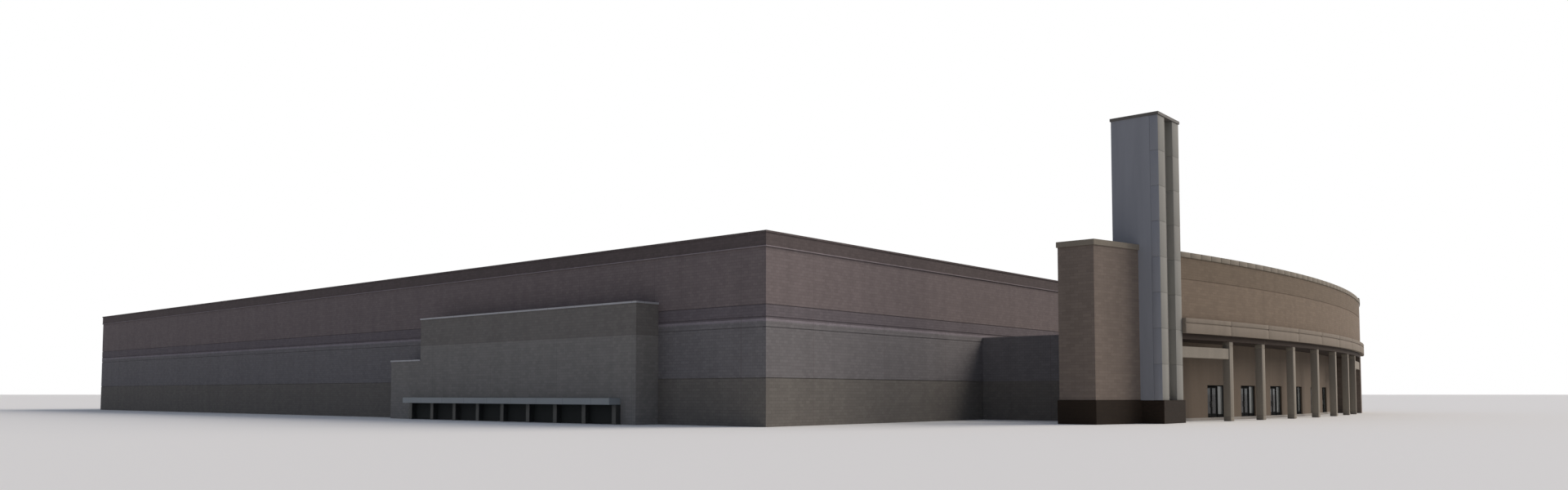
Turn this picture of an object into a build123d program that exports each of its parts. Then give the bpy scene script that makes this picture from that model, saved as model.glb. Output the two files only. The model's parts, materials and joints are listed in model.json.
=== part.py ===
from build123d import *
import os
from math import asin, degrees, sqrt

# Shopping mall at one tenth of its real size, in millimetres: one real metre is 100 mm here.
# The origin is the middle of the store's plan at ground level. +X runs to the right along
# the front, +Y runs to the back and +Z is up.

# Store, the large plain box
store_width = 10540.0
store_depth = 11620.0
wall_height = 1120.0
wall_thick = 40.0
floor_thick = 20.0
roof_thick = 40.0
roof_drop = 20.0
parapet_height = 100.0
parapet_reach = 5.0
parapet_lip = 5.0
parapet_lip_height = 12.0
drip_height = 6.0
reveal_depth = 4.0
reveal_width = 6.0
store_reveals = (300.0, 616.0, 681.0, 757.0)

# Screen wall, bowed forward over the colonnade
bow_radius = 14110.0
bow_reach = 1824.0
screen_thick = 60.0
screen_foot = 595.0
screen_height = 1182.0
screen_reveals = (1022.0,)
screen_reveal_depth = 2.5
screen_parts = 4
coping_thick = 38.0
coping_reach = 8.0
fascia_foot = 636.0
fascia_height = 108.0
fascia_thick = 35.0
fascia_joint = 2.0
fascia_panels = 8

# Solid blocks at the two ends of the screen wall
block_width = 475.0
block_depth = 260.0
block_height = 1202.0
left_block_setback = 70.0
block_wall = 40.0
block_roof_drop = 60.0
block_roof_thick = 30.0
course_height = 160.0
course_reach = 10.0

# Colonnade
pier_size = 55.0
pier_inset = 3.0
bay_width = 665.0
end_bay_width = 565.0
bays_each_side = 2
portal_beam_foot = 465.0
portal_beam_height = 78.0
portal_beam_depth = 45.0

# Tower beside the colonnade
tower_width = 385.0
tower_depth = 338.0
tower_height = 2155.0
tower_poke = 85.0
tower_wall = 30.0
fin_width = 120.0
recess_depth = 60.0
recess_panel_thick = 8.0
tower_cap_thick = 20.0
tower_cap_reach = 6.0
colonnade_half = 2600.0

# Lobby behind the colonnade
entrance_setback = 260.0
entrance_thick = 40.0
lobby_wall_thick = 40.0
lobby_parapet = 20.0
passage_half = 2400.0
passage_height = 500.0

# Doors
doorway_width = 300.0
doorway_top = 272.0
side_light_width = 92.0
frame_width = 8.0
frame_depth = 14.0
frame_gap = 0.5
leaf_gap = 6.0
leaf_lift = 5.0
leaf_thick = 6.0
leaf_stile = 10.0
leaf_top_rail = 10.0
leaf_foot_rail = 25.0
pane_thick = 2.0
pivot_inset = 7.0
pivot_radius = 2.5
seat_gap = 0.3
pull_radius = 1.5
pull_length = 45.0
pull_standoff = 6.0
stud_radius = 1.0
pull_height = 80.0

# Loading dock on the left side wall
dock_near = 970.0
dock_length = 2620.0
dock_reach = 200.0
dock_height = 808.0
dock_wall = 30.0
dock_roof_drop = 40.0
dock_roof_thick = 30.0
annex_length = 450.0
annex_height = 473.0
dock_coping_thick = 12.0
dock_coping_reach = 6.0
platform_start = 150.0
platform_length = 2560.0
platform_reach = 100.0
platform_foot = 132.0
platform_thick = 43.0
platform_pier = 40.0
platform_piers = 9

# Places worked out from the sizes above
half_width = store_width / 2
half_depth = store_depth / 2
bow_centre = -half_depth - bow_reach + bow_radius
entrance_radius = bow_radius - entrance_setback
pier_arcs = [k * bay_width for k in range(-bays_each_side, bays_each_side + 1)]
pier_arcs = [pier_arcs[0] - end_bay_width] + pier_arcs + [pier_arcs[-1] + end_bay_width]
pier_angles = [degrees(arc / bow_radius) for arc in pier_arcs]
door_angles = [(a + b) / 2 for a, b in zip(pier_angles, pier_angles[1:])]
block_outside = colonnade_half + tower_width + block_width
tower_left = -colonnade_half - tower_width
tower_front = bow_centre - sqrt(bow_radius ** 2 - tower_left ** 2) - tower_poke
tower_back = tower_front + tower_depth
block_back = bow_centre - sqrt(bow_radius ** 2 - block_outside ** 2) + block_depth
colonnade_angle = degrees(asin(colonnade_half / bow_radius))
over_angle = degrees(asin((colonnade_half + tower_width) / entrance_radius))
doorway_half_angle = degrees(doorway_width / 2 / entrance_radius)
wall_middle = entrance_radius - entrance_thick / 2
head_foot = doorway_top - frame_width
frame_half = doorway_width / 2 - frame_gap
light_right = frame_half - frame_width
light_left = light_right - side_light_width
pair_left = -frame_half + frame_width
pair_right = light_left - frame_width
pair_middle = (pair_left + pair_right) / 2
pair_half = (pair_right - pair_left) / 2
pivot_out = pair_half - leaf_gap - pivot_inset
plinth_stop = bow_centre - sqrt(entrance_radius ** 2 - (colonnade_half - course_reach) ** 2)


def slab(x0, x1, y0, y1, z0, z1):
    """A plain block between three pairs of faces."""
    return Pos((x0 + x1) / 2, (y0 + y1) / 2, (z0 + z1) / 2) * Box(x1 - x0, y1 - y0, z1 - z0)


def stepped_face(face, inward, foot, top, reveals):
    """The outer edge of a wall's section, with its horizontal reveals cut in.

    inward is a reveal's depth, with the sign of the way into the wall.
    """
    points = [(face, foot)]
    for height in reveals:
        if foot < height and height + reveal_width < top:
            points += [(face, height), (face + inward, height)]
            points += [(face + inward, height + reveal_width)]
            points += [(face, height + reveal_width)]
    return points + [(face, top)]


def straight_run(section, start, end, start_mitre=False, end_mitre=False):
    """A section of (inward, height) points drawn out along +X, mitred where it turns a corner."""
    reach = max(abs(inward) for inward, height in section)
    low = start - reach if start_mitre else start
    high = end + reach if end_mitre else end
    outline = make_face(Polyline(*[(low, inward, height) for inward, height in section], close=True))
    run = extrude(outline, amount=high - low, dir=(1, 0, 0))
    if start_mitre:
        run = split(run, bisect_by=Plane((start, 0, 0), z_dir=(1, -1, 0)), keep=Keep.TOP)
    if end_mitre:
        run = split(run, bisect_by=Plane((end, 0, 0), z_dir=(-1, -1, 0)), keep=Keep.TOP)
    return run


def bowed_run(section, start, end):
    """A section of (radius, height) points turned about the bow's centre between two angles."""
    outline = make_face(Polyline(*[(radius, 0, height) for radius, height in section], close=True))
    run = revolve(outline, axis=Axis.Z, revolution_arc=end - start)
    return Pos(0, bow_centre, 0) * Rot(0, 0, 270 + start) * run


def on_side(side, piece):
    """Bring a run made along the front to one side of the store."""
    corners = {
        "front": (-half_width, -half_depth, 0),
        "right": (half_width, -half_depth, 90),
        "rear": (half_width, half_depth, 180),
        "left": (-half_width, half_depth, 270),
    }
    x, y, turn = corners[side]
    return Pos(x, y, 0) * Rot(0, 0, turn) * piece


def side_length(side):
    """Length of one side of the store."""
    return store_width if side in ("front", "rear") else store_depth


def store_wall_section(foot):
    """Section of the store's wall, with the long reveals on its outer face."""
    outer = stepped_face(0, reveal_depth, foot, wall_height, store_reveals)
    return outer + [(wall_thick, wall_height), (wall_thick, foot)]


def store_walls():
    """The four walls; the front one is parted around the way into the lobby."""
    pieces = {}
    for side in ("left", "right", "rear"):
        run = straight_run(store_wall_section(0), 0, side_length(side), True, True)
        pieces["store_wall_" + side] = on_side(side, run)
    gap_start = half_width - passage_half
    gap_end = half_width + passage_half
    left = straight_run(store_wall_section(0), 0, gap_start, True, False)
    right = straight_run(store_wall_section(0), gap_end, store_width, False, True)
    over = straight_run(store_wall_section(passage_height), gap_start, gap_end)
    pieces["store_wall_front_left"] = on_side("front", left)
    pieces["store_wall_front_right"] = on_side("front", right)
    pieces["store_wall_over_passage"] = on_side("front", over)
    return pieces


def parapets():
    """Band around the top of the store, with a drip at its foot and a lip at its head."""
    top = wall_height + parapet_height
    lip = -parapet_reach - parapet_lip
    section = [(0, wall_height), (lip, wall_height), (lip, wall_height + drip_height)]
    section += [(-parapet_reach, wall_height + drip_height)]
    section += [(-parapet_reach, top - parapet_lip_height), (lip, top - parapet_lip_height)]
    section += [(lip, top), (wall_thick, top), (wall_thick, wall_height)]
    return {
        "parapet_" + side: on_side(side, straight_run(section, 0, side_length(side), True, True))
        for side in ("front", "right", "rear", "left")
    }


def store_floor_and_roof():
    """Floor and roof plates between the walls; the floor runs on through the passage."""
    inner_x = half_width - wall_thick
    inner_y = half_depth - wall_thick
    floor = slab(-inner_x, inner_x, -inner_y, inner_y, 0, floor_thick)
    floor += slab(-passage_half, passage_half, -half_depth, -inner_y, 0, floor_thick)
    roof_top = wall_height - roof_drop
    roof = slab(-inner_x, inner_x, -inner_y, inner_y, roof_top - roof_thick, roof_top)
    return {"store_floor": floor, "store_roof": roof}


def bowed_plate(radius, half, back, foot, top):
    """A plate with a bowed front edge and straight sides."""
    front = bow_centre - sqrt(radius ** 2 - half ** 2)
    bow = ThreePointArc((-half, front), (0, bow_centre - radius), (half, front))
    sides = Polyline((half, front), (half, back), (-half, back), (-half, front))
    return Pos(0, 0, foot) * extrude(make_face([bow, sides]), amount=top - foot)


def lobby():
    """Low lobby between the colonnade and the store's front wall."""
    roof_foot = screen_foot
    roof_top = screen_foot + roof_thick
    inner = colonnade_half
    outer = colonnade_half + lobby_wall_thick
    floor = bowed_plate(entrance_radius, inner, -half_depth, 0, floor_thick)
    roof = bowed_plate(bow_radius - screen_thick, inner, -half_depth, roof_foot, roof_top)
    wall_top = roof_top + lobby_parapet
    left = slab(-outer, -inner, tower_back, -half_depth, 0, wall_top)
    right = slab(inner, outer, block_back, -half_depth, 0, wall_top)
    return {"lobby_floor": floor, "lobby_roof": roof, "lobby_walls": Compound([left, right])}


def entrance_wall():
    """Bowed wall behind the colonnade, parted beside and over each doorway."""
    inner = entrance_radius - entrance_thick
    ends = [-over_angle]
    for angle in door_angles:
        ends += [angle - doorway_half_angle, angle + doorway_half_angle]
    ends.append(over_angle)
    tall = [(inner, floor_thick), (entrance_radius, floor_thick)]
    tall += [(entrance_radius, screen_foot), (inner, screen_foot)]
    short = [(inner, doorway_top), (entrance_radius, doorway_top)]
    short += [(entrance_radius, screen_foot), (inner, screen_foot)]
    panels = [between_ends(bowed_run(tall, ends[k], ends[k + 1])) for k in range(0, len(ends), 2)]
    lintels = [bowed_run(short, ends[k], ends[k + 1]) for k in range(1, len(ends) - 1, 2)]
    return {"entrance_panels": Compound(panels), "entrance_lintels": Compound(lintels)}


def at_doorway(angle, piece):
    """Bring a piece made about the wall's middle line to a doorway, square to the bow."""
    return Pos(0, bow_centre, 0) * Rot(0, 0, angle) * Pos(0, -wall_middle, 0) * piece


def entrance_frames():
    """Frame lining each doorway, with a mullion and a fixed side light to its right."""
    reach = frame_depth / 2
    sill = floor_thick + leaf_foot_rail
    frame = slab(-frame_half, frame_half, -reach, reach, floor_thick, doorway_top)
    frame -= slab(pair_left, pair_right, -frame_depth, frame_depth, floor_thick, head_foot)
    frame -= slab(light_left, light_right, -frame_depth, frame_depth, sill, head_foot)
    light = slab(light_left, light_right, -pane_thick / 2, pane_thick / 2, sill, head_foot)
    return {
        "entrance_frames": Compound([at_doorway(angle, frame) for angle in door_angles]),
        "side_lights": Compound([at_doorway(angle, light) for angle in door_angles]),
    }


def door_leaf(hand):
    """One glazed leaf about its pivot line, closed, reaching along +X times hand."""
    width = pair_half - leaf_gap * 1.5
    foot = floor_thick + leaf_lift
    top = head_foot - leaf_lift
    low = -pivot_inset
    high = width - pivot_inset
    leaf = slab(low, high, -leaf_thick / 2, leaf_thick / 2, foot, top)
    leaf -= slab(low + leaf_stile, high - leaf_stile, -leaf_thick, leaf_thick,
                 foot + leaf_foot_rail, top - leaf_top_rail)
    leaf += slab(low + leaf_stile, high - leaf_stile, -pane_thick / 2, pane_thick / 2,
                 foot + leaf_foot_rail, top - leaf_top_rail)
    pivot_length = top - foot + 2 * (leaf_lift - seat_gap)
    leaf += Pos(0, 0, (foot + top) / 2) * Cylinder(pivot_radius, pivot_length)
    pull_x = high - leaf_stile / 2
    pull_y = -leaf_thick / 2 - pull_standoff
    pull_z = floor_thick + pull_height + pull_length / 2
    leaf += Pos(pull_x, pull_y, pull_z) * Cylinder(pull_radius, pull_length)
    for end in (-1, 1):
        stud = Rot(90, 0, 0) * Cylinder(stud_radius, pull_standoff)
        leaf += Pos(pull_x, pull_y / 2 - leaf_thick / 4, pull_z + end * pull_length / 3) * stud
    return leaf if hand > 0 else mirror(leaf, about=Plane.YZ)


def doors():
    """A pair of leaves in each doorway, which swing outwards."""
    pieces = {}
    for number, angle in enumerate(door_angles, start=1):
        for side, hand in (("left", 1), ("right", -1)):
            leaf = Pos(pair_middle - hand * pivot_out, 0, 0) * door_leaf(hand)
            pieces[f"door_{number}_{side}"] = at_doorway(angle, leaf)
    return pieces


def screen_wall():
    """Bowed wall over the colonnade, in equal lengths cut square at its two ends."""
    inner = bow_radius - screen_thick
    section = stepped_face(bow_radius, -screen_reveal_depth, screen_foot, screen_height,
                           screen_reveals)
    section += [(inner, screen_height), (inner, screen_foot)]
    step = 2 * colonnade_angle / screen_parts
    ends = [-colonnade_angle + number * step for number in range(screen_parts + 1)]
    ends[0] = -over_angle
    ends[-1] = over_angle
    return {
        f"screen_wall_{number + 1}": between_ends(bowed_run(section, start, end))
        for number, (start, end) in enumerate(zip(ends, ends[1:]))
    }


def between_ends(piece):
    """Cut a bowed piece off square at the tower on the left and at the block on the right."""
    kept = split(piece, bisect_by=Plane((-colonnade_half, 0, 0), z_dir=(1, 0, 0)), keep=Keep.TOP)
    return split(kept, bisect_by=Plane((colonnade_half, 0, 0), z_dir=(-1, 0, 0)), keep=Keep.TOP)


def block_fascia():
    """The fascia's run over the front of the right end block and back along its outer side."""
    start = colonnade_half + fascia_joint
    top = fascia_foot + fascia_height
    band = block_plan(colonnade_half, fascia_thick) - block_plan(colonnade_half, 0)
    run = Pos(0, 0, fascia_foot) * extrude(band, amount=fascia_height)
    run -= slab(0, start, -half_depth - bow_reach - fascia_thick, block_back, fascia_foot, top)
    return run - slab(0, block_outside + fascia_thick, block_back, block_back + fascia_thick,
                      fascia_foot, top)


def screen_trim():
    """Pale fascia panels along the screen wall's foot, and the coping along its head."""
    outer = bow_radius + fascia_thick
    top = fascia_foot + fascia_height
    section = [(bow_radius, fascia_foot), (outer, fascia_foot), (outer, top), (bow_radius, top)]
    step = 2 * colonnade_angle / fascia_panels
    half_joint = degrees(fascia_joint / 2 / bow_radius)
    ends = [-colonnade_angle + number * step for number in range(fascia_panels + 1)]
    ends[0] = -over_angle
    ends[-1] = over_angle
    panels = [
        between_ends(bowed_run(section, start + half_joint, end - half_joint))
        for start, end in zip(ends, ends[1:])
    ]
    inner = bow_radius - screen_thick - coping_reach
    outer = bow_radius + coping_reach
    top = screen_height + coping_thick
    section = [(inner, screen_height), (outer, screen_height), (outer, top), (inner, top)]
    coping = between_ends(bowed_run(section, -over_angle, over_angle))
    return {"screen_fascia": Compound(panels + [block_fascia()]), "screen_coping": coping}


def block_plan(inside, grow):
    """Plan of an end block on the right; grow moves its front, outside and back outwards."""
    outside = block_outside + grow
    radius = bow_radius + grow
    back = block_back + grow
    front_in = bow_centre - sqrt(radius ** 2 - inside ** 2)
    front_out = bow_centre - sqrt(radius ** 2 - outside ** 2)
    middle = (inside + outside) / 2
    crown = bow_centre - sqrt(radius ** 2 - middle ** 2)
    bow = ThreePointArc((inside, front_in), (middle, crown), (outside, front_out))
    sides = Polyline((outside, front_out), (outside, back), (inside, back), (inside, front_in))
    return make_face([bow, sides])


def end_block(inside, has_course):
    """Hollow block, with or without a base course, its roof plate and its coping."""
    outer = block_plan(inside, 0)
    hollow = block_plan(inside + block_wall, -block_wall)
    walls = extrude(outer - hollow, amount=block_height)
    if has_course:
        walls += extrude(block_plan(inside, course_reach) - outer, amount=course_height)
    roof_top = block_height - block_roof_drop
    roof = Pos(0, 0, roof_top - block_roof_thick) * extrude(hollow, amount=block_roof_thick)
    cap_inner = block_plan(inside + block_wall + coping_reach, -block_wall - coping_reach)
    cap = Pos(0, 0, block_height) * extrude(block_plan(inside, coping_reach) - cap_inner,
                                            amount=coping_thick)
    return walls, roof, cap


def end_blocks():
    """The block beside the tower, set back a little, and the plainer one at the far end."""
    back = Pos(0, left_block_setback, 0)
    left = [back * mirror(piece, about=Plane.YZ) for piece in end_block(-tower_left, True)]
    right = end_block(colonnade_half, False)
    return {
        "end_block_left": left[0],
        "end_block_right": right[0],
        "end_block_roofs": Compound([left[1], right[1]]),
        "end_block_copings": Compound([left[2], right[2]]),
    }


def colonnade():
    """Square piers under the screen wall, and a beam across each end bay."""
    out = bow_radius - pier_inset - pier_size / 2
    pier = slab(-pier_size / 2, pier_size / 2, -out - pier_size / 2, -out + pier_size / 2,
                0, screen_foot)
    piers = [Pos(0, bow_centre, 0) * Rot(0, 0, angle) * pier for angle in pier_angles]
    inner = out - portal_beam_depth / 2
    outer = out + portal_beam_depth / 2
    top = portal_beam_foot + portal_beam_height
    section = [(inner, portal_beam_foot), (outer, portal_beam_foot), (outer, top), (inner, top)]
    left = between_ends(bowed_run(section, -over_angle, pier_angles[0])) - piers[0]
    right = between_ends(bowed_run(section, pier_angles[-1], over_angle)) - piers[-1]
    return {"colonnade_piers": Compound(piers), "portal_beams": Compound([left, right])}


def tower():
    """Hollow shaft on a plinth, two fins on its front, the recess between them and the cap."""
    left = tower_left
    right = -colonnade_half
    face = tower_front + recess_depth
    top = tower_height - tower_cap_thick
    shaft = slab(left, right, face, tower_back, course_height, top)
    shaft -= slab(left + tower_wall, right - tower_wall, face + tower_wall,
                  tower_back - tower_wall, course_height, top)
    fins = [
        slab(left, left + fin_width, tower_front, face, course_height, top),
        slab(right - fin_width, right, tower_front, face, course_height, top),
    ]
    panel = slab(left + fin_width, right - fin_width, face - recess_panel_thick, face,
                 course_height, top)
    plinth = slab(left, right, tower_front - course_reach, tower_back, 0, course_height)
    plinth += slab(right, right + course_reach, tower_front - course_reach, plinth_stop,
                   0, course_height)
    cap = slab(left - tower_cap_reach, right + tower_cap_reach, tower_front - tower_cap_reach,
               tower_back + tower_cap_reach, top, tower_height)
    return {
        "tower_shaft": shaft,
        "tower_fins": Compound(fins),
        "tower_recess_panel": panel,
        "tower_plinth": plinth,
        "tower_cap": cap,
    }


def loading_dock():
    """Plain enclosure on the left side, with a lower annex behind it and a raised platform."""
    wall_face = -half_width
    out = wall_face - dock_reach
    near = -half_depth + dock_near
    far = near + dock_length
    end = far + annex_length
    walls = slab(out, wall_face, near, far, 0, dock_height)
    walls -= slab(out + dock_wall, wall_face, near + dock_wall, far - dock_wall, 0, dock_height)
    annex = slab(out, wall_face, far, end, 0, annex_height)
    annex -= slab(out + dock_wall, wall_face, far, end - dock_wall, 0, annex_height)
    roof_top = dock_height - dock_roof_drop
    roof = slab(out + dock_wall, wall_face, near + dock_wall, far - dock_wall,
                roof_top - dock_roof_thick, roof_top)
    annex_top = annex_height - dock_roof_drop
    annex_roof = slab(out + dock_wall, wall_face, far, end - dock_wall,
                      annex_top - dock_roof_thick, annex_top)
    cope = dock_coping_reach
    cap_top = dock_height + dock_coping_thick
    cap = slab(out - cope, wall_face, near - cope, far + cope, dock_height, cap_top)
    cap -= slab(out + dock_wall + cope, wall_face, near + dock_wall + cope,
                far - dock_wall - cope, dock_height, cap_top)
    annex_cap_top = annex_height + dock_coping_thick
    annex_cap = slab(out - cope, wall_face, far, end + cope, annex_height, annex_cap_top)
    annex_cap -= slab(out + dock_wall + cope, wall_face, far, end - dock_wall - cope,
                      annex_height, annex_cap_top)
    start = near + platform_start
    platform = slab(out - platform_reach, out, start, start + platform_length, platform_foot,
                    platform_foot + platform_thick)
    step = (platform_length - platform_pier) / (platform_piers - 1)
    for number in range(platform_piers):
        start = near + platform_start + number * step
        platform += slab(out - platform_pier, out, start, start + platform_pier, 0, platform_foot)
    return {
        "dock_walls": walls,
        "dock_annex_walls": annex,
        "dock_roofs": Compound([roof, annex_roof]),
        "dock_copings": Compound([cap, annex_cap]),
        "dock_platform": platform,
    }


def all_pieces():
    """Every piece of the building by the name of its node."""
    pieces = {}
    for group in (store_floor_and_roof, store_walls, parapets, lobby, entrance_wall,
                  entrance_frames, doors, screen_wall, screen_trim, end_blocks, colonnade,
                  tower, loading_dock):
        pieces.update(group())
    return pieces


os.makedirs("parts", exist_ok=True)
for name, piece in all_pieces().items():
    export_step(piece, f"parts/{name}.step")
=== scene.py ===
"""Shopping mall building at one tenth of its real size: finishes, joinery and stage."""
import json
from math import atan2, pi, radians

import bmesh
import bpy
from bpy.props import FloatProperty, FloatVectorProperty, IntProperty, PointerProperty
from mathutils import Matrix, Vector


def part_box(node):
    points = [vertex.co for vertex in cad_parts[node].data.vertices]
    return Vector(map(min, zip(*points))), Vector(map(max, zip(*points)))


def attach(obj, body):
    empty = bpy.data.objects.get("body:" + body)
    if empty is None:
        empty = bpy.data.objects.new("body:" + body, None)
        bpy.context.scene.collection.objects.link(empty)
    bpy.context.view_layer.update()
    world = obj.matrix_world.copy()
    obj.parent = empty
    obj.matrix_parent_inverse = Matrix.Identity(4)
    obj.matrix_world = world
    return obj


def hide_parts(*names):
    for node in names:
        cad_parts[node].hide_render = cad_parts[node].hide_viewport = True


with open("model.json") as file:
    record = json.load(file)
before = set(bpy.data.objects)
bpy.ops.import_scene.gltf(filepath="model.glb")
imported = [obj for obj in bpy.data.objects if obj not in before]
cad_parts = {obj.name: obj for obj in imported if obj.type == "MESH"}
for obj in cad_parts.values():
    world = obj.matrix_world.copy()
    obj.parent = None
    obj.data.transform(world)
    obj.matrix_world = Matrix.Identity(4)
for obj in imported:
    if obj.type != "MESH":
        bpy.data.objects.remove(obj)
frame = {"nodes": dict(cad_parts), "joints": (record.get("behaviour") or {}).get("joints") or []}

bl_info = {
    "name": "Shopping mall model",
    "version": (1, 0, 0),
    "blender": (4, 5, 0),
    "location": "3D View > Sidebar > Mall",
    "description": "Finishes and joinery for a one to ten model of a shopping mall building",
    "category": "Object",
}


def linear(code):
    """An sRGB hex colour as linear red, green and blue."""
    parts = [int(code[i:i + 2], 16) / 255 for i in (1, 3, 5)]
    return [c / 12.92 if c <= 0.04045 else ((c + 0.055) / 1.055) ** 2.4 for c in parts]


def paint(name, description, code):
    """A colour that a user can change."""
    return FloatVectorProperty(name=name, description=description, subtype="COLOR", size=3,
                               min=0, max=1, default=linear(code))


def length(name, description, metres):
    """A length on the model that a user can change."""
    return FloatProperty(name=name, description=description, subtype="DISTANCE",
                         unit="LENGTH", precision=4, default=metres)


def angle(name, description, degrees):
    """An angle that a user can change."""
    return FloatProperty(name=name, description=description, subtype="ANGLE",
                         default=radians(degrees))


def count(name, description, number):
    """How many of a piece there are, which a user can change."""
    return IntProperty(name=name, description=description, default=number, min=1)


class MallFinishes(bpy.types.PropertyGroup):
    """Colours of the building's finishes."""
    wall: paint("Wall block", "Split-faced block of the store's walls", "#7A706F")
    wall_foot: paint("Wall foot", "Block below the lowest reveal", "#74706A")
    wall_low: paint("Low wall block", "Block between the two lower reveals", "#7A7777")
    wall_line: paint("Wall line", "Pale course over the second reveal", "#918A8E")
    wall_band: paint("Wall band", "Smooth block between the upper reveals", "#6F686B")
    parapet: paint("Parapet", "Smooth block of the parapet band", "#5D5453")
    drip: paint("Parapet drip", "Pale course under the parapet band", "#8F8688")
    screen: paint("Screen block", "Ground-faced block of the screen wall", "#7C6D5D")
    screen_top: paint("Upper screen block", "Duller block over the screen's reveal", "#736555")
    fascia: paint("Fascia", "Buff precast of the fascia panels", "#807669")
    end_block: paint("End block", "Ground-faced block of the end blocks", "#7E7268")
    precast: paint("Precast", "Precast concrete of the tower's fins", "#86857F")
    pier: paint("Pier precast", "Warmer precast of the piers and beams", "#8A8377")
    coping: paint("Coping", "Pale precast coping of screen wall and end blocks", "#80786B")
    dock_coping: paint("Dock coping", "Painted metal of the dock's copings", "#A6A6A8")
    # the cap is metal, and its dark colour is painted shade along the tower's top edge
    cap: paint("Tower cap", "Metal of the tower's cap, darkened as painted shade", "#54514D")
    tower: paint("Tower render", "Smooth render of the tower's sides", "#8C8E93")
    recess: paint("Recess panel", "Painted metal between the fins", "#C4BEB3")
    brick: paint("Plinth brick", "Dark brick of the base courses", "#271E16")
    roof: paint("Roofing", "Sheet roofing", "#A7A6A2")
    # this dark colour is painted shade, on the canopy's underside and on the strip under the
    # fascia
    soffit_shade: paint("Soffit", "Dark underside of the colonnade roof, painted shade", "#3A3029")
    floor: paint("Floor", "Ground concrete floor", "#96918A")
    entrance: paint("Entrance render", "Render of the wall behind the piers", "#6E6255")
    frames: paint("Door frames", "Anodised aluminium of frames and leaves", "#222323")
    glass: paint("Door glass", "Grey glass of the leaves", "#272A2A")
    # the side lights' pale colour is a painted reflection
    side_light: paint("Side light glass", "Pale glass of the side lights, painted reflection", "#858985")
    pulls: paint("Pull handles", "Brushed steel of the leaves' pull handles", "#6A6A67")
    dock: paint("Dock block", "Painted block of the dock", "#797570")
    # this dark colour is painted shade under the dock's platform, on the block and the posts
    platform_shade_colour: paint("Dock foot", "Painted shade on the posts and block under the platform", "#2A2C2B")
    annex: paint("Annex block", "Paler painted block of the dock's annex and foot", "#87847F")
    platform: paint("Platform steel", "Painted steel edge of the platform", "#8A9092")


class MallSizes(bpy.types.PropertyGroup):
    """Sizes of the pieces that are modelled here, on the model."""
    bow_radius: length("Bow radius", "Radius of the screen wall's face", 14.11)
    fascia_joint: length("Fascia joint", "Open joint between precast panels", 0.004)
    groove_drop: length("Groove drop", "From the fascia's head to its groove", 0.040)
    groove_height: length("Groove height", "Height of the fascia's groove", 0.008)
    groove_depth: length("Groove depth", "Depth of the fascia's groove", 0.005)
    edge: length("Edge", "Chamfer along precast edges", 0.003)
    low_reveal: length("Low reveal", "Height of the store wall's lowest reveal", 0.303)
    line_foot: length("Line foot", "Height of the pale course over the second reveal", 0.655)
    band_foot: length("Band foot", "Height of the smooth block over that course", 0.670)
    band_head: length("Band head", "Height of the split-faced block over the band", 0.76)
    drip: length("Parapet drip", "Height of the pale course under the parapet band", 0.006)
    screen_reveal: length("Screen reveal", "Height of the reveal in the screen wall", 1.025)
    dock_line: length("Dock line", "Height where the dock's paint turns darker", 0.59)
    wall_joints: length("Wall joints", "From joint to joint along the block walls", 0.8)
    screen_joints: length("Screen joints", "From joint to joint along the screen wall", 1.3)
    pier_reveal: length("Pier reveal", "Depth of the grooves around a pier", 0.002)
    pier_margin: length("Pier margin", "From a pier's foot or head to its groove", 0.030)
    pier_groove: length("Pier groove", "Height of the grooves around a pier", 0.004)
    doorway: length("Doorway", "Width of a doorway's frame", 0.299)
    member: length("Frame member", "Face width of jambs, mullion and head", 0.008)
    frame_depth: length("Frame depth", "Depth of the door frame", 0.014)
    side_light: length("Side light", "Width of the fixed side light", 0.092)
    leaf_width: length("Leaf width", "Width of a door leaf", 0.0825)
    leaf_thick: length("Leaf thickness", "Thickness of a door leaf", 0.006)
    pivot_inset: length("Pivot inset", "From the leaf's edge to its pivot", 0.007)
    stile: length("Stile", "Width of a leaf's stiles and top rail", 0.010)
    foot_rail: length("Foot rail", "Height of a leaf's foot rail", 0.025)
    set_back: length("Set-back", "From a leaf's face back to its glass", 0.00201)
    pane_thick: length("Pane thickness", "Thickness of the side light's glass", 0.002)
    bead: length("Bead", "Width of the bead around the side light's glass", 0.004)
    bead_depth: length("Bead depth", "From the bead back to the side light's glass", 0.0002)
    pin_reach: length("Pin reach", "From a leaf's foot or head to the end of its pin", 0.0047)
    pin_root: length("Pin root", "Length of a pin inside its leaf", 0.001)
    pin_radius: length("Pin radius", "Radius of a pivot pin", 0.0025)
    pull_height: length("Pull height", "From a leaf's foot to its pull's middle", 0.0975)
    pull_length: length("Pull length", "Length of a pull handle", 0.045)
    pull_radius: length("Pull radius", "Radius of a pull handle", 0.0015)
    pull_reach: length("Pull reach", "From a leaf's face to its pull's middle line", 0.006)
    stud_radius: length("Stud radius", "Radius of a pull's studs", 0.001)
    platform_foot: length("Platform underside", "Height of the platform's underside", 0.132)
    fascia_panels: count("Fascia panels", "Panels along the fascia's bow", 8)
    coping_stones: count("Coping stones", "Stones along the coping", 36)
    fin_panels: count("Fin panels", "Precast panels up each fin", 8)


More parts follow.
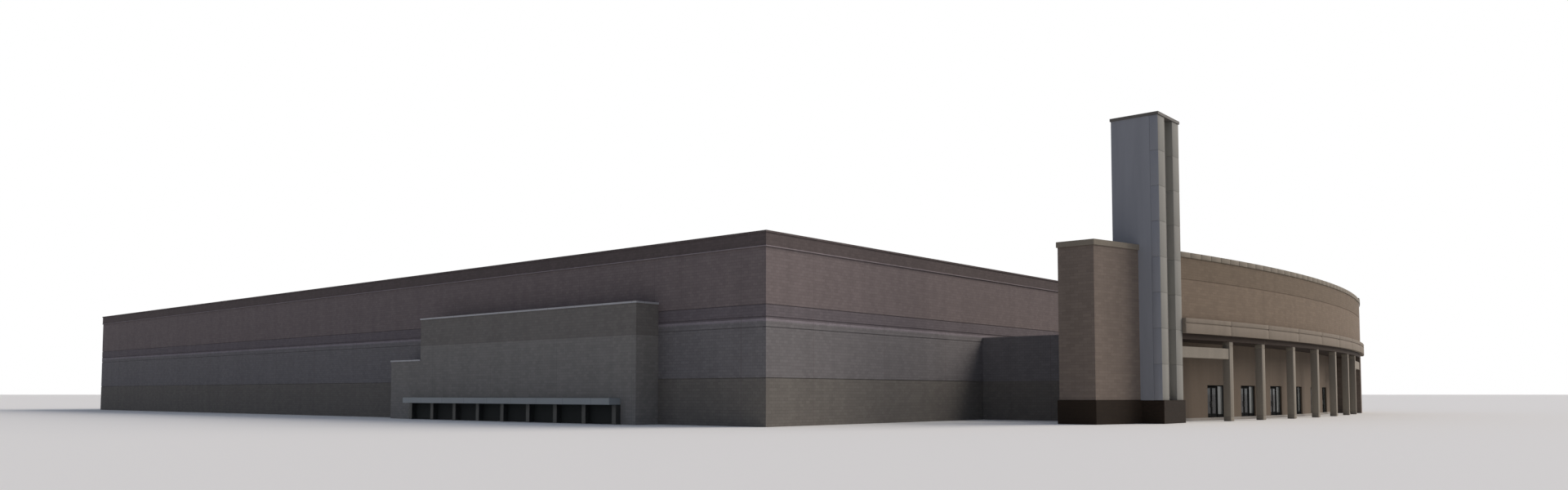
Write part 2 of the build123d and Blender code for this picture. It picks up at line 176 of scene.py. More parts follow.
class MallStage(bpy.types.PropertyGroup):
    """Where the camera stands and how the light falls."""
    camera: FloatVectorProperty(name="Camera", description="Where the camera stands",
                                subtype="TRANSLATION", unit="LENGTH", size=3,
                                default=(-10.2804, -10.2247, 0.20))
    tilt: angle("Tilt", "Camera's angle from straight down", 93.035)
    heading: angle("Heading", "Camera's turn about the vertical", -49.572)
    lens: FloatProperty(name="Lens", description="Focal length on a 36 mm sensor, in mm",
                        default=24.85, min=1)
    shift: FloatProperty(name="Shift", description="Upward shift of the frame", default=0.0587)
    sun: FloatProperty(name="Key light", description="Strength of the soft key light", default=2.6)
    sun_height: angle("Key height", "Key light's angle from overhead", 57)
    sun_heading: angle("Key heading", "Key light's turn to the right", 50)
    sun_spread: angle("Key spread", "How wide the soft key light is", 45)
    sun_tint: paint("Key tint", "Slightly warm colour of the key light", "#FFF4EA")
    sky: FloatProperty(name="Sky light", description="Strength of the even light", default=0.31)
    sky_tint: paint("Sky tint", "Slightly cool colour of the even light", "#D9E4FF")
    ground: paint("Ground", "Pale floor that the model stands on", "#F4F4F0")


# Nodes and finishes

WHITE = (1.0, 1.0, 1.0)


def add(tree, kind, inputs=None, **options):
    """A node with its settings. Its inputs are values, sockets, or nodes' first outputs."""
    node = tree.nodes.new("ShaderNode" + kind)
    for key, value in options.items():
        setattr(node, key, value)
    for key, value in (inputs or {}).items():
        if isinstance(value, bpy.types.Node):
            value = value.outputs[0]
        if isinstance(value, bpy.types.NodeSocket):
            tree.links.new(value, node.inputs[key])
        else:
            node.inputs[key].default_value = value
    return node


def opaque(colour, scale=1.0):
    """A colour property with full alpha, lightened or darkened."""
    return [min(1.0, channel * scale) for channel in colour] + [1.0]


def new_material(name, values):
    """An empty material with its output and its shader, which holds the uniform values."""
    material = bpy.data.materials.new(name)
    material.use_nodes = True
    tree = material.node_tree
    tree.nodes.clear()
    shader = add(tree, "BsdfPrincipled", values)
    add(tree, "OutputMaterial", {"Surface": shader})
    return material, tree, shader


def cover(tree, shader, tone, height, strength, depth, invert=False):
    """Give a shader its colour and a fine relief, depth metres deep at the most."""
    bump = add(tree, "Bump", {"Height": height, "Strength": strength, "Distance": depth},
               invert=invert)
    tree.links.new(tone, shader.inputs["Base Color"])
    tree.links.new(bump.outputs[0], shader.inputs["Normal"])


def shaded(tree, colour, pattern, least, most, low=0.3, high=0.7):
    """A colour times least where a pattern is low, up to most where the pattern is high."""
    light = add(tree, "MapRange", {0: pattern, 1: low, 2: high, 3: least, 4: most})
    return add(tree, "Mix", {0: 1.0, 6: colour, 7: light}, data_type="RGBA",
               blend_type="MULTIPLY").outputs[2]


def wall_plane(tree):
    """Coordinates along a wall and up it, whichever way it faces; also each by itself."""
    place = add(tree, "TexCoord")
    parts = add(tree, "SeparateXYZ", {0: place.outputs["Object"]})
    facing = add(tree, "SeparateXYZ", {0: place.outputs["Normal"]})
    # past half a right angle a face looks sideways, or lies flat
    half_way = 0.7071
    side = add(tree, "Math", {0: facing.outputs["X"]}, operation="ABSOLUTE")
    turned = add(tree, "Math", {0: side, 1: half_way}, operation="GREATER_THAN")
    flat = add(tree, "Math", {0: facing.outputs["Z"], 1: half_way}, operation="GREATER_THAN")
    along = add(tree, "Mix", {0: turned, 2: parts.outputs["X"], 3: parts.outputs["Y"]})
    up = add(tree, "Mix", {0: flat, 2: parts.outputs["Z"], 3: parts.outputs["Y"]})
    plane = add(tree, "CombineXYZ", {0: along, 1: up})
    return plane, along, parts.outputs["Z"]


def seams(tree, along, finish, colour, every):
    """Upright joints over a finish, one at each step along a wall."""
    # joints of 10 to 20 mm at full size, drawn at 30 to show
    width = 0.003
    share = add(tree, "Math", {0: along, 1: every}, operation="MODULO")
    size = add(tree, "Math", {0: share}, operation="ABSOLUTE")
    line = add(tree, "Math", {0: size, 1: width}, operation="LESS_THAN")
    return add(tree, "Mix", {0: line, 6: finish, 7: colour}, data_type="RGBA").outputs[2]


def streaks(tree, plane, across, down):
    """Streaks that rain leaves down a wall, with soft patches of soot between them."""
    drawn = add(tree, "VectorMath", {0: plane, 1: (across, down, 1.0)}, operation="MULTIPLY")
    return add(tree, "TexNoise", {"Vector": drawn, "Scale": 1.0, "Detail": 5.0, "Roughness": 0.6})


# a unit's length and height with its joint: block, long block and brick
BLOCK, LONG_BLOCK, BRICK = (0.04, 0.02), (0.06, 0.02), (0.0225, 0.0075)


def masonry(name, colour, unit, bump, joint=0.0008, roughness=0.85, tint=0.07, bands=None,
            joints_every=None):
    """Block or brick laid in stretcher bond, with its joints, streaks and movement joints.

    Colours vary a little from unit to unit. bands are (height, colour) from the ground up.
    """
    material, tree, shader = new_material(
        name, {"Roughness": roughness, "Specular IOR Level": 0.2})
    plane, along, height = wall_plane(tree)
    bond = add(tree, "TexBrick", {
        "Vector": plane, "Color1": opaque(WHITE), "Color2": opaque(WHITE, 1 - 2 * tint),
        "Mortar": opaque(WHITE, 0.72), "Scale": 1.0, "Mortar Size": joint,
        "Mortar Smooth": 0.3, "Bias": 0.0, "Brick Width": unit[0], "Row Height": unit[1],
    })
    base = colour_by_height(tree, height, bands) if bands else opaque(colour)
    laid = add(tree, "Mix", {0: 1.0, 6: base, 7: bond.outputs["Color"]}, data_type="RGBA",
               blend_type="MULTIPLY")
    rain = streaks(tree, plane, across=9.0, down=0.9)
    finish = shaded(tree, laid.outputs[2], rain, least=0.90, most=1.05, high=0.75)
    if joints_every:
        finish = seams(tree, along, finish, opaque(colour, 0.7), joints_every)
    # the broken face of a block is rough at about 5 mm, drawn at 4 mm on the model to show
    grit = add(tree, "TexNoise", {"Vector": plane, "Scale": 250.0, "Detail": 3.0})
    face = add(tree, "Math", {0: grit, 1: 0.35, 2: bond.outputs["Fac"]}, operation="MULTIPLY_ADD")
    cover(tree, shader, finish, face, bump, depth=0.001, invert=True)
    return material


def colour_by_height(tree, height, bands):
    """Courses of differently coloured block, one colour from each height up to the next."""
    # the ramp ends over the head of every wall that has bands
    top = 1.3
    share = add(tree, "Math", {0: height, 1: top}, operation="DIVIDE")
    ramp = add(tree, "ValToRGB", {0: share})
    ramp.color_ramp.interpolation = "CONSTANT"
    elements = ramp.color_ramp.elements
    for number, (foot, colour) in enumerate(bands):
        stop = elements[number] if number < 2 else elements.new(foot / top)
        stop.position = foot / top
        stop.color = opaque(colour)
    return ramp


def cast(name, colour, roughness=0.85, grain=0.004, bump=0.2, speckle=0.08, streak=0.10):
    """Cast or rendered surface with a fine aggregate, clouding and rain streaks.

    grain is the aggregate's size on the model, in metres.
    """
    material, tree, shader = new_material(
        name, {"Roughness": roughness, "Specular IOR Level": 0.25})
    place = add(tree, "TexCoord")
    stones = add(tree, "TexNoise",
                 {"Vector": place.outputs["Object"], "Scale": 1 / grain, "Detail": 2.0})
    spotted = shaded(tree, opaque(colour), stones, 1 - speckle, 1 + speckle, low=0.35, high=0.65)
    rain = streaks(tree, wall_plane(tree)[0], across=14.0, down=1.1)
    washed = shaded(tree, spotted, rain, 1 - streak, most=1.04)
    cover(tree, shader, washed, stones, bump, depth=0.0006)
    return material


def sheet_metal(name, colour, roughness=0.5):
    """Folded and coated sheet metal in lengths of 3 m, with seams and a faint oil-canning."""
    material, tree, shader = new_material(name, {"Roughness": roughness})
    plane, along = wall_plane(tree)[:2]
    waves = add(tree, "TexNoise", {"Vector": plane, "Scale": 6.0, "Detail": 4.0})
    coated = shaded(tree, opaque(colour), waves, least=0.92, most=1.04)
    seamed = seams(tree, along, coated, opaque(colour, 0.5), every=0.3)
    cover(tree, shader, seamed, waves, strength=0.15, depth=0.001)
    return material


def roofing(name, colour, under):
    """Welded sheet roofing in 2 m widths, with laps and the marks of standing water.

    under is a dark colour that paints shade on the underside, where the laps are the boards'
    joints.
    """
    material, tree, shader = new_material(name, {"Roughness": 0.8, "Specular IOR Level": 0.2})
    place = add(tree, "TexCoord")
    facing = add(tree, "SeparateXYZ", {0: place.outputs["Normal"]})
    # faces that look down get the dark under colour, which is painted shade
    below = add(tree, "Math", {0: facing.outputs["Z"], 1: -0.5}, operation="LESS_THAN")
    side = add(tree, "Mix", {0: below, 6: opaque(colour), 7: opaque(under)},
               data_type="RGBA").outputs[2]
    lap = add(tree, "Mix", {0: 1.0, 6: side, 7: opaque(WHITE, 0.78)}, data_type="RGBA",
              blend_type="MULTIPLY")
    sheets = add(tree, "TexBrick", {
        "Vector": place.outputs["Object"], "Color1": side, "Color2": side,
        "Mortar": lap.outputs[2], "Scale": 1.0, "Mortar Size": 0.004, "Mortar Smooth": 0.2,
        "Brick Width": 3.0, "Row Height": 0.2,
    })
    water = add(tree, "TexNoise", {"Vector": place.outputs["Object"], "Scale": 0.8,
                                   "Detail": 6.0, "Roughness": 0.6})
    marked = shaded(tree, sheets.outputs["Color"], water, 0.84, 1.03, low=0.4, high=0.65)
    cover(tree, shader, marked, sheets.outputs["Fac"], strength=0.4, depth=0.001)
    return material


def glazing(name, colour, transmission, roughness, gloss):
    """Float glass tinted in its body, with faint dust on its face.

    gloss is how much it mirrors: half is plain glass, and less is glass under a shading film.
    """
    material, tree, shader = new_material(
        name, {"Transmission Weight": transmission, "IOR": 1.5, "Specular IOR Level": gloss})
    place = add(tree, "TexCoord")
    dust = add(tree, "TexNoise", {"Vector": place.outputs["Object"], "Scale": 12.0, "Detail": 2.0})
    haze = add(tree, "MapRange", {0: dust, 1: 0.3, 2: 0.8, 3: roughness, 4: roughness + 0.02})
    dusty = shaded(tree, opaque(colour), dust, least=0.94, most=1.04)
    tree.links.new(dusty, shader.inputs["Base Color"])
    tree.links.new(haze.outputs[0], shader.inputs["Roughness"])
    return material


def drawn_metal(name, colour, roughness):
    """Anodised or brushed metal: fine lines up its length and a low sheen."""
    # the oxide layer dulls what the metal mirrors at a glancing angle
    material, tree, shader = new_material(
        name, {"Roughness": roughness, "Metallic": 0.85, "Specular Tint": opaque(WHITE, 0.3)})
    place = add(tree, "TexCoord")
    drawn = add(tree, "VectorMath",
                {0: place.outputs["Object"], 1: (900.0, 900.0, 12.0)}, operation="MULTIPLY")
    lines = add(tree, "TexNoise", {"Vector": drawn, "Scale": 1.0, "Detail": 2.0})
    lined = shaded(tree, opaque(colour), lines, least=0.9, most=1.1)
    cover(tree, shader, lined, lines, strength=0.1, depth=0.0002)
    return material


def settings():
    """The finishes and the sizes, as the user has them."""
    return bpy.context.scene.mall_finishes, bpy.context.scene.mall_sizes


def coat(names, material):
    """Give CAD nodes one finish."""
    for name in names:
        piece = frame["nodes"][name]
        piece.data.materials.clear()
        piece.data.materials.append(material)


def named(start):
    """Names of the CAD nodes that begin with a word."""
    return sorted(name for name in frame["nodes"] if name.startswith(start))


# Modelling by hand

RIGHT, FRONT, UP = Vector((1, 0, 0)), Vector((0, -1, 0)), Vector((0, 0, 1))


def choose(piece):
    """Pick one piece and no other."""
    bpy.ops.object.select_all(action="DESELECT")
    piece.select_set(True)
    bpy.context.view_layer.objects.active = piece


def settle(piece):
    """Put a piece's place, turn and scale into its mesh."""
    choose(piece)
    bpy.ops.object.transform_apply(location=True, rotation=True, scale=True)


def block(name, low, high):
    """Start a piece from a block between two corners."""
    bpy.ops.object.select_all(action="DESELECT")
    middle = (Vector(low) + Vector(high)) / 2
    bpy.ops.mesh.primitive_cube_add(size=1, location=middle)
    piece = bpy.context.object
    piece.scale = Vector(high) - Vector(low)
    piece.name = name
    settle(piece)
    return piece


def sheet(middle, turn, across, up):
    """Start a piece from a flat sheet that is turned about its middle."""
    bpy.ops.object.select_all(action="DESELECT")
    bpy.ops.mesh.primitive_plane_add(size=1, rotation=turn, location=middle)
    piece = bpy.context.object
    piece.scale = (across, up, 1)
    settle(piece)
    return piece


def rod(radius, tall, middle, sides=16, turn=(0, 0, 0)):
    """A round rod, upright unless it is turned, with rounded ends."""
    bpy.ops.object.select_all(action="DESELECT")
    bpy.ops.mesh.primitive_cylinder_add(vertices=sides, radius=radius, depth=tall,
                                        rotation=turn, location=middle)
    piece = bpy.context.object
    settle(piece)
    soften(piece, width=0.0003, segments=1)
    return piece


def edit(piece, action="SELECT"):
    """Open a piece for editing with all of it picked, or nothing."""
    bpy.context.view_layer.objects.active = piece
    bpy.ops.object.mode_set(mode="EDIT")
    bpy.ops.mesh.select_mode(type="FACE")
    bpy.ops.mesh.select_all(action=action)


def pick(piece, test):
    """Open a piece for editing with only the faces picked that pass a test."""
    edit(piece, "DESELECT")
    mesh = bmesh.from_edit_mesh(piece.data)
    for face in mesh.faces:
        face.select_set(bool(test(face)))
    mesh.select_flush_mode()
    bmesh.update_edit_mesh(piece.data)


def done():
    """Close the piece that is being edited."""
    bpy.ops.object.mode_set(mode="OBJECT")


def sink(depth):
    """Press the picked faces into the piece."""
    bpy.ops.mesh.extrude_region_shrink_fatten(TRANSFORM_OT_shrink_fatten={"value": -depth})


def outwards(piece):
    """Merge doubles and turn every face outwards."""
    edit(piece)
    bpy.ops.mesh.remove_doubles(threshold=0.00001)
    bpy.ops.mesh.normals_make_consistent(inside=False)
    done()


def cut(piece, way, places):
    """Score a piece with planes square to a direction, at places along it."""
    edit(piece)
    for place in places:
        bpy.ops.mesh.select_all(action="SELECT")
        bpy.ops.mesh.bisect(plane_co=way * place, plane_no=way)
    done()


def soften(piece, width, segments=2):
    """Round a piece's sharp edges and shade it by angle."""
    choose(piece)
    bevel = piece.modifiers.new("edges", "BEVEL")
    bevel.width = width
    bevel.segments = segments
    bevel.limit_method = "ANGLE"
    bevel.angle_limit = radians(40)
    bpy.ops.object.modifier_apply(modifier=bevel.name)
    bpy.ops.object.shade_smooth_by_angle(angle=radians(30))


def copy_to(piece, name, matrix):
    """A copy with its own mesh, placed by a matrix."""
    copy = piece.copy()
    copy.data = piece.data.copy()
    copy.name = name
    bpy.context.scene.collection.objects.link(copy)
    copy.matrix_world = matrix
    settle(copy)
    return copy


def joined(pieces, name):
    """Several pieces as one."""
    bpy.ops.object.select_all(action="DESELECT")
    for piece in pieces:
        piece.select_set(True)
    bpy.context.view_layer.objects.active = pieces[0]
    bpy.ops.object.join()
    piece = bpy.context.object
    piece.name = name
    return piece


def finish_piece(piece, materials, replaced, body="root"):
    """Give a piece its finishes, its body and the CAD nodes that it stands for."""
    if materials:
        piece.data.materials.clear()
        for material in materials:
            piece.data.materials.append(material)
    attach(piece, body)
    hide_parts(*replaced)


def standing(x, y, turn):
    """Where a piece stands on the ground and how it is turned."""
    return Matrix.Translation((x, y, 0)) @ Matrix.Rotation(turn, 4, "Z")


def bow_centre(sizes):
    """Where the bow's centre lies on the middle line."""
    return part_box("screen_wall_2")[0].y + sizes.bow_radius


def around_bow(sizes, turn):
    """Turn about the bow's centre."""
    centre = Matrix.Translation((0, bow_centre(sizes), 0))
    return centre @ Matrix.Rotation(turn, 4, "Z") @ centre.inverted()


class MALL_OT_store(bpy.types.Operator):
    """Lay the store's walls, parapet, floor and roof"""
    bl_idname = "mall.store"
    bl_label = "Store"

    def execute(self, context):
        colours, sizes = settings()
        # split-faced block, 400 by 200 mm with joints of 10 mm drawn at 20 to show
        bands = [(0.0, colours.wall_foot), (sizes.low_reveal, colours.wall_low),
                 (sizes.line_foot, colours.wall_line), (sizes.band_foot, colours.wall_band),
                 (sizes.band_head, colours.wall)]
        walls = masonry("split-faced block", colours.wall, BLOCK, bump=0.5, joint=0.001,
                        roughness=0.9, bands=bands, joints_every=sizes.wall_joints)
        coat(named("store_wall"), walls)
        coat(["lobby_walls"], walls)
        # smooth block of the band, the same size, rubbed flat
        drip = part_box("parapet_front")[0].z + sizes.drip
        band = masonry("smooth block", colours.parapet, BLOCK, bump=0.25,
                       bands=[(0.0, colours.drip), (drip, colours.parapet)])
        coat(named("parapet"), band)
        coat(["store_roof", "end_block_roofs", "dock_roofs"],
             roofing("sheet roofing", colours.roof, colours.roof))
        # the underside over the colonnade is painted dark as the shade under the canopy
        coat(["lobby_roof"], roofing("sheet roofing with painted shade under it", colours.roof, colours.soffit_shade))
        coat(["store_floor", "lobby_floor"],
             cast("ground concrete", colours.floor, roughness=0.6, bump=0.02, speckle=0.04))
        return {"FINISHED"}


class MALL_OT_screen(bpy.types.Operator):
    """Lay the bowed screen wall, its coping and its fascia panels"""
    bl_idname = "mall.screen"
    bl_label = "Screen wall"

    def execute(self, context):
        colours, sizes = settings()
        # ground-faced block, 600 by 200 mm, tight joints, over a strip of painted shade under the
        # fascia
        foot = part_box("screen_fascia")[0].z
        bands = [(0.0, colours.soffit_shade), (foot, colours.screen),
                 (sizes.screen_reveal, colours.screen_top)]
        coat(named("screen_wall"),
             masonry("ground-faced block", colours.screen, LONG_BLOCK, bump=0.25, bands=bands,
                     joints_every=sizes.screen_joints))
        self.coping(colours, sizes)
        self.fascia(colours, sizes)
        return {"FINISHED"}

    def coping(self, colours, sizes):
        """One coping stone turned about the bow's centre, chamfered and copied along the wall."""
        low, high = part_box("screen_coping")
        centre = bow_centre(sizes)
        inner = ((centre - high.y) ** 2 + high.x ** 2) ** 0.5
        step = 2 * atan2(high.x, centre - high.y) / sizes.coping_stones
        stone = self.turned(sizes, low.z, high.z, low.y, centre - inner, step, steps=2)
        stones = self.along(sizes, stone, sizes.coping_stones, step, low.x, high.x)
        bpy.data.objects.remove(stone)
        coping = joined(stones, "coping_stones")
        outwards(coping)
        soften(coping, sizes.edge)
        pale = cast("pale coping", colours.coping, roughness=0.8, bump=0.15)
        finish_piece(coping, [pale], ["screen_coping"])

    def fascia(self, colours, sizes):
        """One grooved panel turned about the bow's centre and copied along the wall.

        The panels run on over the right end block, where a straight one goes back along
        the block's outer side.
        """
        low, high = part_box("screen_fascia")
        back = bow_centre(sizes) - sizes.bow_radius
        half = -low.x
        step = 2 * atan2(half, (sizes.bow_radius ** 2 - half ** 2) ** 0.5) / sizes.fascia_panels
        panel = self.turned(sizes, low.z, high.z, low.y, back, step, steps=8)
        self.groove(sizes, panel, high.z, FRONT)
        panels = self.along(sizes, panel, sizes.fascia_panels, step, -half, half)
        # four more panels than the bow takes reach the block's outer side
        panels += self.along(sizes, panel, sizes.fascia_panels + 4, step,
                             half + sizes.fascia_joint / 2, high.x)
        bpy.data.objects.remove(panel)
        corner = bow_centre(sizes) - (sizes.bow_radius ** 2 - high.x ** 2) ** 0.5
        side = block("fascia_side", (high.x - back + low.y, corner + sizes.fascia_joint, low.z),
                     (high.x, high.y, high.z))
        self.groove(sizes, side, high.z, RIGHT)
        fascia = joined(panels + [side], "fascia_panels")
        outwards(fascia)
        soften(fascia, sizes.edge * 0.5)
        buff = cast("buff precast", colours.fascia)
        finish_piece(fascia, [buff], ["screen_fascia"])

    def turned(self, sizes, foot, top, front, back, step, steps):
        """A rectangle on the middle line turned about the bow's centre, short of a joint."""
        sweep = step - sizes.fascia_joint / sizes.bow_radius
        piece = sheet((0, (front + back) / 2, (foot + top) / 2), (0, pi / 2, 0), top - foot,
                      back - front)
        piece.matrix_world = around_bow(sizes, sweep / 2)
        settle(piece)
        edit(piece)
        bpy.ops.mesh.spin(steps=steps, angle=sweep, center=(0, bow_centre(sizes), 0),
                          axis=(0, 0, 1))
        done()
        outwards(piece)
        return piece

    def groove(self, sizes, piece, top, way):
        """Sink a level groove under the head of the faces that look one way."""
        low = top - sizes.groove_drop
        high = low + sizes.groove_height
        cut(piece, UP, (low, high))
        pick(piece, lambda f: f.normal.dot(way) > 0.9 and low < f.calc_center_median().z < high)
        sink(sizes.groove_depth)
        done()

    def along(self, sizes, piece, total, step, start, end):
        """Copies of a piece along the bow, those past the two ends left out or cut square."""
        copies = []
        for number in range(total):
            turn = (number - (total - 1) / 2) * step
            copy = copy_to(piece, "copy", around_bow(sizes, turn))
            reach = [vertex.co.x for vertex in copy.data.vertices]
            if max(reach) < start + sizes.fascia_joint or min(reach) > end - sizes.fascia_joint:
                bpy.data.objects.remove(copy)
                continue
            for place, way in ((start, -1), (end, 1)):
                edit(copy)
                bpy.ops.mesh.bisect(plane_co=(place, 0, 0), plane_no=(way, 0, 0),
                                    clear_outer=True, use_fill=True)
                done()
            copies.append(copy)
        return copies


class MALL_OT_colonnade(bpy.types.Operator):
    """Model the piers and finish the beams across the end bays"""
    bl_idname = "mall.colonnade"
    bl_label = "Colonnade"

    def execute(self, context):
        colours, sizes = settings()
        precast = cast("warm precast", colours.pier)
        coat(["portal_beams"], precast)
        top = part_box("colonnade_piers")[1].z
        width, places = self.piers(sizes, top)
        pier = block("pier", (-width / 2, -width / 2, 0), (width / 2, width / 2, top))
        margin, inner = sizes.pier_margin, sizes.pier_margin + sizes.pier_groove
        grooves = ((margin, inner), (top - inner, top - margin))
        cut(pier, UP, grooves[0] + grooves[1])
        pick(pier, lambda f: abs(f.normal.z) < 0.5 and any(
            low < f.calc_center_median().z < high for low, high in grooves))
        sink(sizes.pier_reveal)
        done()
        soften(pier, sizes.edge * 0.6)
        copies = [copy_to(pier, "pier", place) for place in places]
        bpy.data.objects.remove(pier)
        finish_piece(joined(copies, "precast_piers"), [precast],
                     ["colonnade_piers"])
        return {"FINISHED"}

    def piers(self, sizes, top):
        """A pier's width and the place of each pier, from the corners on their tops.

        Corners that are less than a doorway's width apart belong to one pier.
        """
        node = frame["nodes"]["colonnade_piers"]
        corners = sorted({(round(v.co.x, 5), round(v.co.y, 5)) for v in node.data.vertices
                          if abs(v.co.z - top) < 0.0001})
        groups = []
        for corner in corners:
            if groups and corner[0] - groups[-1][0][0] < sizes.doorway:
                groups[-1].append(corner)
            else:
                groups.append([corner])
        places = []
        for group in groups:
            x, y = (sum(way) / len(group) for way in zip(*group))
            places.append(standing(x, y, atan2(x, bow_centre(sizes) - y)))
        first = Vector(groups[0][0])
        width = min((Vector(corner) - first).length for corner in groups[0][1:])
        return width, places


class MALL_OT_entrance(bpy.types.Operator):
    """Finish the wall behind the piers and model its door frames and side lights"""
    bl_idname = "mall.entrance"
    bl_label = "Entrance"

    def execute(self, context):
        colours, sizes = settings()
        coat(["entrance_panels", "entrance_lintels"],
             cast("sand-faced render", colours.entrance, roughness=0.9, grain=0.003, bump=0.3))
        low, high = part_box("entrance_frames")
        frames, lights = [], []
        frame_piece, light_piece = self.doorway(sizes, low.z, high.z)
        across = Matrix.Translation(((sizes.side_light + sizes.member) / 2, 0, 0))
        for left, right, turn in doorways():
            middle = (left + right) / 2
            matrix = standing(middle.x, middle.y, turn) @ across
            frames.append(copy_to(frame_piece, "frame", matrix))
            lights.append(copy_to(light_piece, "light", matrix))
        bpy.data.objects.remove(frame_piece)
        bpy.data.objects.remove(light_piece)
        aluminium = bpy.data.materials["dark anodised aluminium"]
        finish_piece(joined(frames, "door_frames"), [aluminium],
                     ["entrance_frames"])
        # a pale colour paints the reflection that is seen in the side lights
        pale = glazing("side light glass with painted reflection", colours.side_light, transmission=0.35, roughness=0.12,
                       gloss=0.3)
        finish_piece(joined(lights, "side_light_panes"), [pale],
                     ["side_lights"])
        return {"FINISHED"}

    def doorway(self, sizes, foot, top):
        """A frame with a mullion, cut from one sheet and given its depth, and its side light."""
        half = sizes.doorway / 2
        member = sizes.member
        light = (half - member - sizes.side_light, half - member)
        pair = (-half + member, light[0] - member)
        head = top - member
        sill = foot + sizes.foot_rail
        piece = sheet((0, 0, (foot + top) / 2), (pi / 2, 0, 0), sizes.doorway, top - foot)
        cut(piece, RIGHT, pair + light)
        cut(piece, UP, (head, sill))
        pick(piece, lambda f: self.is_open(f.calc_center_median(), pair, light, head, sill))
        bpy.ops.mesh.delete(type="FACE")
        done()
        depth = piece.modifiers.new("depth", "SOLIDIFY")
        depth.thickness = sizes.frame_depth
        depth.offset = 0
        bpy.ops.object.modifier_apply(modifier=depth.name)
        outwards(piece)
        soften(piece, width=0.0008)
        face = sizes.pane_thick / 2
        pane = block("pane", (light[0], -face, sill), (light[1], face, head))
        pick(pane, lambda f: abs(f.normal.y) > 0.5)
        bpy.ops.mesh.inset(thickness=sizes.bead, depth=0, use_individual=True)
        sink(sizes.bead_depth)
        done()
        return piece, pane

    def is_open(self, spot, pair, light, head, sill):
        """Whether a spot lies in the doorway or in the side light."""
        if pair[0] < spot.x < pair[1]:
            return spot.z < head
        return light[0] < spot.x < light[1] and sill < spot.z < head


def doorways():
    """The left and right pivot in each doorway, and the doorway's turn."""
    places = {}
    for joint in frame["joints"]:
        number, side = joint["child"].split("_")[1:]
        places.setdefault(int(number), {})[side] = Vector(joint["pos_m"])
    found = []
    for number in sorted(places):
        left, right = places[number]["left"], places[number]["right"]
        found.append((left, right, atan2(right.y - left.y, right.x - left.x)))
    return found


class MALL_OT_doors(bpy.types.Operator):
    """Model a glazed leaf and hang a pair in each doorway"""
    bl_idname = "mall.doors"
    bl_label = "Doors"

    def execute(self, context):
        colours, sizes = settings()
        materials = [bpy.data.materials["dark anodised aluminium"],
                     glazing("grey float glass", colours.glass, transmission=0.6,
                             roughness=0.02, gloss=0.02),
                     drawn_metal("brushed steel", colours.pulls, roughness=0.35)]
        low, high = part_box("door_1_left")
        leaf = self.leaf(sizes, low.z + sizes.pin_reach, high.z - sizes.pin_reach, materials)
        for number, (left, right, turn) in enumerate(doorways(), start=1):
            for side, pivot, hand in (("left", left, 1), ("right", right, -1)):
                matrix = standing(pivot.x, pivot.y, turn) @ Matrix.Diagonal((hand, 1, 1, 1))
                copy = copy_to(leaf, f"leaf_{number}_{side}", matrix)
                outwards(copy)
                node = f"door_{number}_{side}"
                finish_piece(copy, [], [node], node)
        bpy.data.objects.remove(leaf)
        return {"FINISHED"}

    def leaf(self, sizes, foot, top, materials):
        """A leaf about its pivot: panes set back between stiles and rails, pins and a pull."""
        aluminium, glass, steel = materials
        near = -sizes.pivot_inset
        far = near + sizes.leaf_width
        half = sizes.leaf_thick / 2
        leaf = block("leaf", (near, -half, foot), (far, half, top))
        for material in materials:
            leaf.data.materials.append(material)
        for way in (-1, 1):
            pick(leaf, lambda f: f.normal.y * way > 0.9)
            bpy.ops.mesh.inset(thickness=sizes.stile, depth=0)
            for corner in bmesh.from_edit_mesh(leaf.data).verts:
                if corner.select and corner.co.z < (foot + top) / 2:
                    corner.co.z = foot + sizes.foot_rail
            bmesh.update_edit_mesh(leaf.data)
            sink(sizes.set_back)
            leaf.active_material_index = materials.index(glass)
            bpy.ops.object.material_slot_assign()
            done()
        soften(leaf, width=0.0004, segments=1)
        pins = self.pins(sizes, foot, top)
        pulls = self.pull(sizes, far - sizes.stile / 2, -half, foot)
        for pieces, material in ((pins, aluminium), (pulls, steel)):
            for piece in pieces:
                piece.data.materials.append(material)
        return joined([leaf] + pins + pulls, "leaf")

    def pins(self, sizes, foot, top):
        """Pivot pins at the foot and the head."""
        ends = ((foot - sizes.pin_reach, foot + sizes.pin_root),
                (top - sizes.pin_root, top + sizes.pin_reach))
        return [rod(sizes.pin_radius, high - low, (0, 0, (low + high) / 2))
                for low, high in ends]

    def pull(self, sizes, x, face, foot):
        """A straight pull handle on two studs, a third of its length from its middle."""
        middle = foot + sizes.pull_height
        made = [rod(sizes.pull_radius, sizes.pull_length, (x, face - sizes.pull_reach, middle))]
        for end in (-sizes.pull_length / 3, sizes.pull_length / 3):
            made.append(rod(sizes.stud_radius, sizes.pull_reach,
                            (x, face - sizes.pull_reach / 2, middle + end), 12, (pi / 2, 0, 0)))
        return made


class MALL_OT_end_blocks(bpy.types.Operator):
    """Finish the two end blocks, the left one with a dark base course"""
    bl_idname = "mall.end_blocks"
    bl_label = "End blocks"

    def execute(self, context):
        colours = settings()[0]
        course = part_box("tower_plinth")[1].z
        bands = [(0.0, colours.brick), (course, colours.end_block)]
        for side, name, courses in (("left", "ground-faced block over brick", bands),
                                    ("right", "plain ground-faced block", None)):
            coat([f"end_block_{side}"],
                 masonry(name, colours.end_block, LONG_BLOCK, bump=0.3, bands=courses))
        coat(["end_block_copings"], bpy.data.materials["pale coping"])
        return {"FINISHED"}


